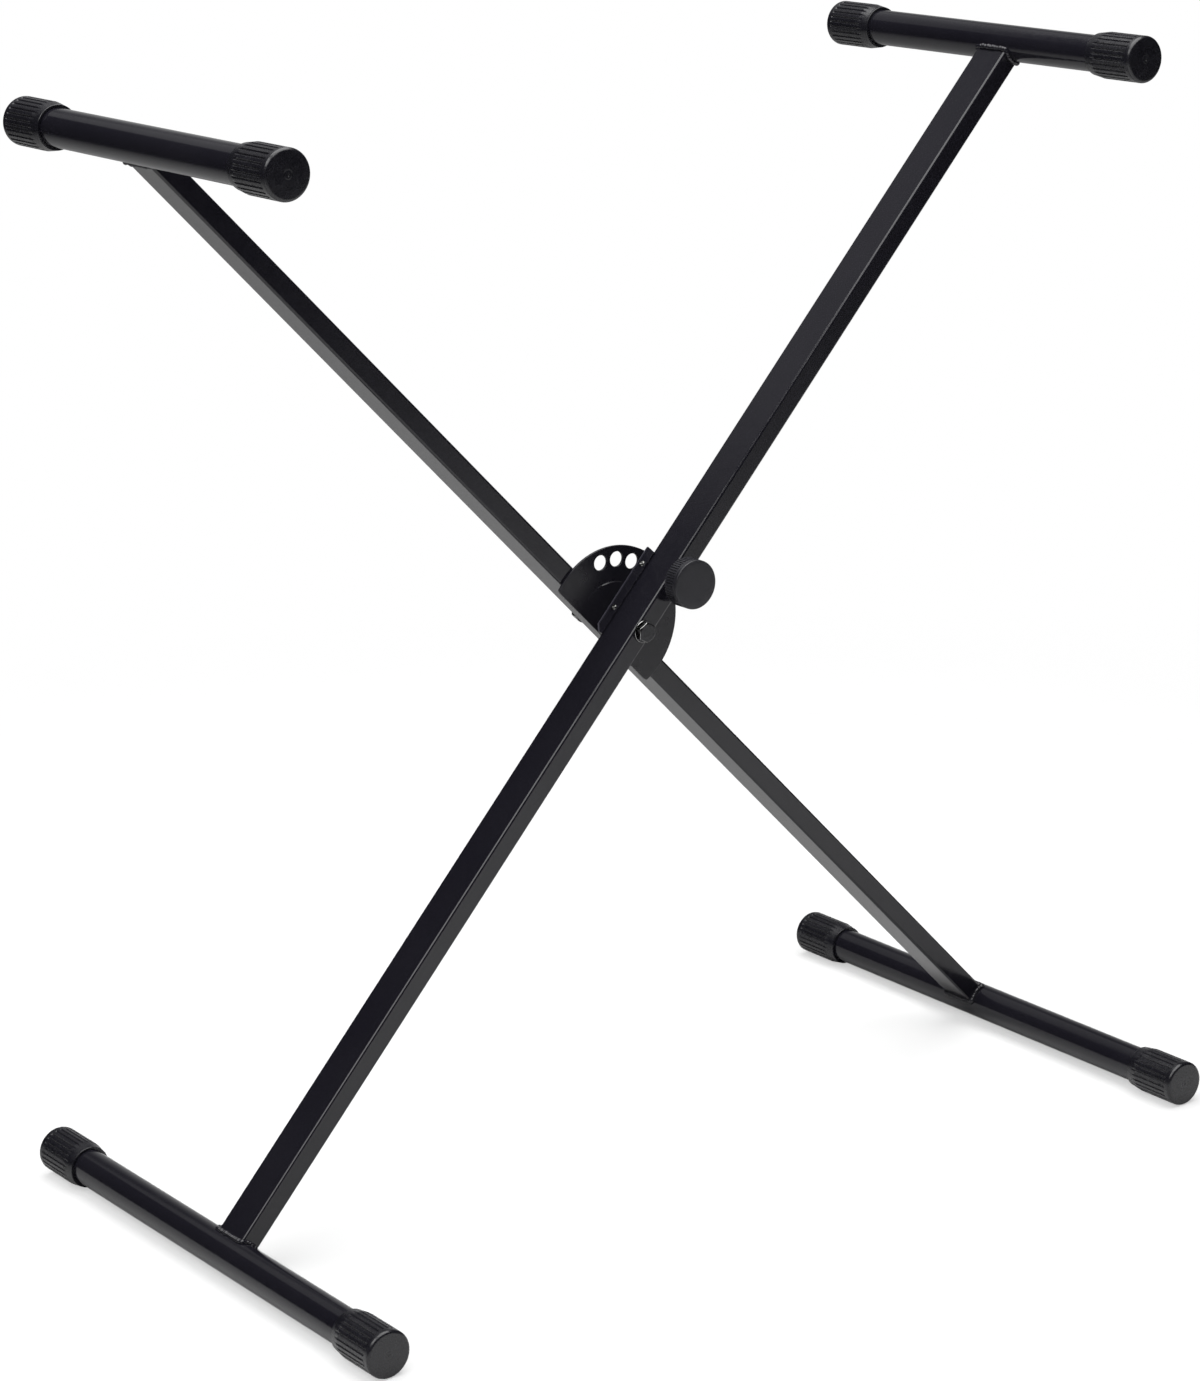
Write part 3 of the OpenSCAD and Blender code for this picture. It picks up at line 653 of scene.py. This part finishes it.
# %% Plug welds
PLUG_LOW, PLUG_IN, LUMPY = 7.2, 4, 0.16
CRATER = [(0, -0.2), (0.45, -0.25), (0.8, -0.6), (1.1, -1.05)]
DOME = [(1.4, -1.15), (1.75, -0.95), (2.1, -0.45), (2.3, 0.3), (0, 0.3)]
bm = bmesh.new()
for side in (0, math.pi):
    for z in (PLUG_LOW, HOLE_RING):
        dome = lathe(CRATER + DOME, steps=32)
        for v in dome.verts:
            v.co += noise.noise_vector(v.co / MM * 0.6 + Vector((side, z, 0))) * LUMPY * MM
        turn = Matrix.Rotation(side, 4, "Z") @ shift(outer_w, 0, z) @ Matrix.Rotation(math.pi / 2, 4, "Z")
        bmesh.ops.transform(dome, matrix=shift(y=LAP_EDGE + PLUG_IN) @ turn, verts=dome.verts)
        merge(bm, dome)
add_piece("bracket_plugs", bm, FRONT, "front_frame", ["bracket_plug_welds"], "painted_weld", plug_metal)

# %% [markdown]
# ## Bolt, nut and washers
# The pivot is an 8 mm bolt with a 13 mm hexagon head. A real head is chamfered by a cone, which leaves a round flat
# face and curved edges on the six sides. It starts as a circle. Each ring that is extruded from it is moved out to
# the hexagon, and back by as much as the cone has cut at that radius. The rims are rounded a little and get the
# second material, a bright metal that paints the glints on them. So do the slanted rims of the washers.

# %% Hexagons
HALF_AF, FACE_R, RIM_ROUND = 6.5, 5.9, 0.22


def hexagon(bm, near, far, far_cone=True, turn=0):
    """Adds a chamfered hexagon along Y between two depths, in millimetres, turned by degrees."""
    def grow(edges, radius_at, depth_at):
        made = bmesh.ops.extrude_edge_only(bm, edges=edges)["geom"]
        for v in (g for g in made if isinstance(g, bmesh.types.BMVert)):
            a = math.atan2(v.co.x, v.co.z)
            r = radius_at(a)
            v.co = Vector((r * math.sin(a), depth_at(r), r * math.cos(a))) * MM
        return [g for g in made if isinstance(g, bmesh.types.BMEdge) and all(v in made for v in g.verts)]

    def six_sided(a):
        return HALF_AF / math.cos((a - math.radians(turn) + math.pi / 6) % (math.pi / 3) - math.pi / 6)

    upright = shift(y=near) @ Matrix.Rotation(math.pi / 2, 4, "X")
    start = bmesh.ops.create_circle(bm, cap_ends=True, segments=96, radius=FACE_R * MM, matrix=upright)
    ring = list({e for v in start["verts"] for e in v.link_edges})
    cone = math.tan(math.radians(30))
    near_rim = grow(ring, six_sided, lambda r: near + (r - FACE_R) * cone)
    far_rim = grow(near_rim, six_sided, lambda r: far - (r - FACE_R) * cone * far_cone)
    ring = grow(far_rim, lambda a: FACE_R, lambda r: far)
    bmesh.ops.edgeloop_fill(bm, edges=ring)
    bmesh.ops.recalc_face_normals(bm, faces=bm.faces)
    rims = near_rim + (far_rim if far_cone else [])
    how = {"affect": "EDGES", "segments": 3, "profile": 0.5, "material": -1}
    # The rounded rims take the bright metal, a painted highlight for their glints.
    for face in bmesh.ops.bevel(bm, geom=rims, offset=RIM_ROUND * MM, **how)["faces"]:
        face.material_index = 1


def add_fastener(name, bm, node):
    """Adds a black fastener whose rims carry a painted glint, on the pivot's line."""
    add_piece(name, bm, FRONT, "front_frame", [node], "dark_fastener", dark_metal, rim_glint_metal, flat_sides=True)


# %% Bolt with its thread
ARM_NEAR, WASHER_T, HEAD_H, HEAD_TURN = -34.5, 1.2, 4.3, -13
NUT_NEAR, NUT_FAR, BOLT_END = 35.9, 43.9, 45.9
PITCH, THREAD_DEEP, ROOT = 1.2, 0.55, 0.15
head_back = ARM_NEAR - WASHER_T
bm = bmesh.new()
hexagon(bm, head_back - HEAD_H, head_back, far_cone=False, turn=HEAD_TURN)
thread = [(0, head_back - 0.5), (BOLT_R, head_back - 0.5), (BOLT_R, NUT_NEAR)]
while thread[-1][1] < BOLT_END - 1.5:
    y = thread[-1][1]
    root = BOLT_R - THREAD_DEEP
    thread += [(root, y + THREAD_DEEP), (root, y + THREAD_DEEP + ROOT), (BOLT_R, y + PITCH)]
thread += [(BOLT_R - 0.6, BOLT_END), (0, BOLT_END)]
lathe(thread, steps=64, bm=bm)
add_fastener("hex_bolt", bm, "pivot_bolt")


# %% Washers and lock nut
def washer(near):
    edge, r = 0.25, 8
    outside = [(r - edge, near), (r, near + edge), (r, near + WASHER_T - edge), (r - edge, near + WASHER_T)]
    bm = lathe([(4.15, near)] + outside + [(4.15, near + WASHER_T)])
    for face in bm.faces:
        face.normal_update()
        # The washer's slanted rims take the bright metal, a painted highlight for the glints on them.
        if 0.3 < abs(face.normal.y) < 0.9:
            face.material_index = 1
    return bm


add_fastener("washer_front", washer(head_back), "head_washer")
add_fastener("washer_back", washer(NUT_NEAR - WASHER_T), "nut_washer")
bm = bmesh.new()
hexagon(bm, NUT_NEAR, NUT_FAR - 2)
collar = [(0, 3), (5.7, 3), (5.7, 0.8), (5.2, 0.1), (4.6, 0), (4.3, 0.3), (4.1, 0.9), (0, 0.9)]
lathe([(radius, NUT_FAR - back) for radius, back in collar], steps=64, bm=bm)
add_fastener("locking_nut", bm, "lock_nut")

# %% [markdown]
# ## Pin guide and pull knob
# The guide is a turned boss pressed into the arm's near face. The knob that pulls the pin is 35 mm across, with 56
# fine grooves round its side, a smooth rim and a flat face. The same groove helper as for the caps presses them in.

# %% Pin guide
GUIDE_FRONT = -42
bm = lathe([
    (3.56, GUIDE_FRONT + 0.3), (3.9, GUIDE_FRONT), (7, GUIDE_FRONT), (7.7, GUIDE_FRONT + 0.3), (8, GUIDE_FRONT + 1),
    (8, ARM_NEAR), (5.5, ARM_NEAR), (5.5, ARM_NEAR + 4.4), (3.56, ARM_NEAR + 4.4)
])
add_piece("guide_boss", bm, AT_PIN, "front_frame", ["pin_guide"], "dark_fastener", dark_metal, flat_sides=True)

# %% Pull knob
KNOB_R, KNOB_H, KNOB_BACK, KNOB_GROOVES = 17.5, 13.5, -42.7, 56


def knob_mesh():
    rim = KNOB_H - 4
    profile = [(0, 10.7), (3.53, 10.7), (3.53, 5.5), (10, 5.5), (10, 0.4), (10.4, 0), (KNOB_R - 0.5, 0)]
    profile += [(KNOB_R - 0.15, 0.15), (KNOB_R, 0.5)]
    profile += [(KNOB_R, y) for y in (2.5, 5, 7, rim - 0.6, rim - 0.35, rim - 0.15, rim, rim + 0.5)]
    profile += [(KNOB_R, rim + 1.7), (KNOB_R - 0.4, rim + 1.95), (KNOB_R - 0.4, rim + 2.1), (KNOB_R, rim + 2.35)]
    profile += arc((KNOB_R - 0.7, KNOB_H - 0.7), 0.7, 0, 90, 6)
    profile += [(12, KNOB_H - 0.02), (6, KNOB_H - 0.05), (0, KNOB_H - 0.05)]
    bm = lathe(profile, steps=KNOB_GROOVES * 10)
    press_grooves(bm, KNOB_GROOVES, KNOB_R, cutter=0.5, deep=0.75, stop=rim, ease=0.6)
    return bm


place = AT_PIN @ shift(y=KNOB_BACK) @ Matrix.Rotation(math.pi, 4, "Z")
add_piece("grooved_knob", knob_mesh(), place, "pull_pin", ["pull_knob"], "knob_plastic", plastic)

# %% [markdown]
# ## Floor
# The stand was photographed on white. A round pale floor, which fades out at its rim, takes soft shadows and is what
# the undersides of the tubes mirror. The camera sees it faintly, because the photograph shows next to no shadow, and
# beyond it the world goes on as white. The photograph's white was made brighter than the floor really was, so the
# tubes mirror a floor that is greyer. Towards the back that mirrored grey is darker still, a painted shade for the
# floor getting less light there. Two helpers make a soft range and tell what the camera sees from what the paint
# mirrors.


# %% Helpers for what the camera sees
def smooth_range(tree, value, start, stop, low, high):
    """Turns a value into one between low and high, with soft ends."""
    node = tree.nodes.new("ShaderNodeMapRange")
    node.interpolation_type = "SMOOTHSTEP"
    for socket, number in zip(("From Min", "From Max", "To Min", "To Max"), (start, stop, low, high)):
        node.inputs[socket].default_value = number
    tree.links.new(value, node.inputs["Value"])
    return node.outputs["Result"]


def blend(tree, factor, unseen, shown):
    """A number that the camera sees in one way and the paint's reflections in another."""
    node = tree.nodes.new("ShaderNodeMix")
    tree.links.new(factor, node.inputs["Factor"])
    for socket, value in (("A", unseen), ("B", shown)):
        if isinstance(value, float):
            node.inputs[socket].default_value = value
        else:
            tree.links.new(value, node.inputs[socket])
    return node.outputs["Result"]


# %% Floor
FLOOR_R = 4.6
bm = bmesh.new()
bmesh.ops.create_circle(bm, cap_ends=True, segments=96, radius=FLOOR_R, matrix=shift(z=-0.3))
floor_mesh = bpy.data.meshes.new("floor")
bm.to_mesh(floor_mesh)
bm.free()
floor = bpy.data.objects.new("floor", floor_mesh)
bpy.context.scene.collection.objects.link(floor)

pale, tree, shader, place = new_finish("pale_floor", (0.9, 0.9, 0.9), 0.85, specular=0.2)
seen = tree.nodes.new("ShaderNodeLightPath").outputs["Is Camera Ray"]
away = tree.nodes.new("ShaderNodeVectorMath")
away.operation = "LENGTH"
tree.links.new(place, away.inputs[0])
apart = tree.nodes.new("ShaderNodeSeparateXYZ")
tree.links.new(place, apart.inputs["Vector"])
wide = smooth_range(tree, away.outputs["Value"], 1.0, 4.2, 1, 0)
near = smooth_range(tree, away.outputs["Value"], 0.75, 1.5, 0.45, 0)
tree.links.new(blend(tree, seen, wide, near), shader.inputs["Alpha"])
# What the paint mirrors grows darker towards the back: a painted shade for the lower light there. The camera sees an
# even 0.9.
floor_grey_and_rear_shade = blend(tree, seen, smooth_range(tree, apart.outputs["Y"], -0.5, 0.3, 0.78, 0.42), 0.9)
tree.links.new(floor_grey_and_rear_shade, shader.inputs["Base Color"])
floor_mesh.materials.append(pale)
print("floor radius", FLOOR_R, "m, fading out to the camera from 0.75 m, and to reflections from 1 m")

# %% [markdown]
# ## Light
# Two large soft panels hang over the stand and to its left, and a weak one behind it. The rest of the room is nearly
# black, which keeps the paint black: a glossy black tube shows whatever is around it. Only a low band behind the
# stand and to its right is light, as the backdrop was, and the camera's own view of the world is white.


# %% Lights
def panel(name, at, aim, width, height, power):
    lamp = bpy.data.lights.new(name, "AREA")
    lamp.shape = "RECTANGLE"
    lamp.size, lamp.size_y, lamp.energy = width, height, power
    holder = bpy.data.objects.new(name, lamp)
    turn = (Vector(aim) - Vector(at)).to_track_quat("-Z", "Y")
    holder.matrix_world = Matrix.Translation(at) @ turn.to_matrix().to_4x4()
    bpy.context.scene.collection.objects.link(holder)


panel("overhead", (0.2, -0.2, 2.6), (0.2, -0.2, 0), 2.3, 3.4, 105)
panel("left_overhead", (-2.3, -0.2, 2.6), (-2.3, -0.2, 0), 1.9, 3.4, 88)
panel("behind", (0.4, 2.9, 2.8), (0.2, 2.4, 0), 3.0, 1.4, 4)

world = bpy.data.worlds.new("studio")
bpy.context.scene.world = world
world.use_nodes = True
tree = world.node_tree
look = tree.nodes.new("ShaderNodeSeparateXYZ")
tree.links.new(tree.nodes.new("ShaderNodeTexCoord").outputs["Generated"], look.inputs["Vector"])
behind = smooth_range(tree, look.outputs["Y"], 0.1, 0.6, 0, 0.45)
low = smooth_range(tree, look.outputs["Z"], 0.05, 0.7, 1, 0)
to_right = smooth_range(tree, look.outputs["X"], 0.05, 0.45, 0, 1)
right_side = tree.nodes.new("ShaderNodeMath")
right_side.operation = "MULTIPLY"
tree.links.new(behind, right_side.inputs[0])
tree.links.new(to_right, right_side.inputs[1])
band = tree.nodes.new("ShaderNodeMath")
band.operation = "MULTIPLY_ADD"
tree.links.new(right_side.outputs["Value"], band.inputs[0])
tree.links.new(low, band.inputs[1])
band.inputs[2].default_value = 0.02
seen = tree.nodes.new("ShaderNodeLightPath").outputs["Is Camera Ray"]
tree.links.new(blend(tree, seen, band.outputs["Value"], 1.0), tree.nodes["Background"].inputs["Color"])
bpy.context.scene.view_settings.view_transform = "Standard"
print("lights and world ready")
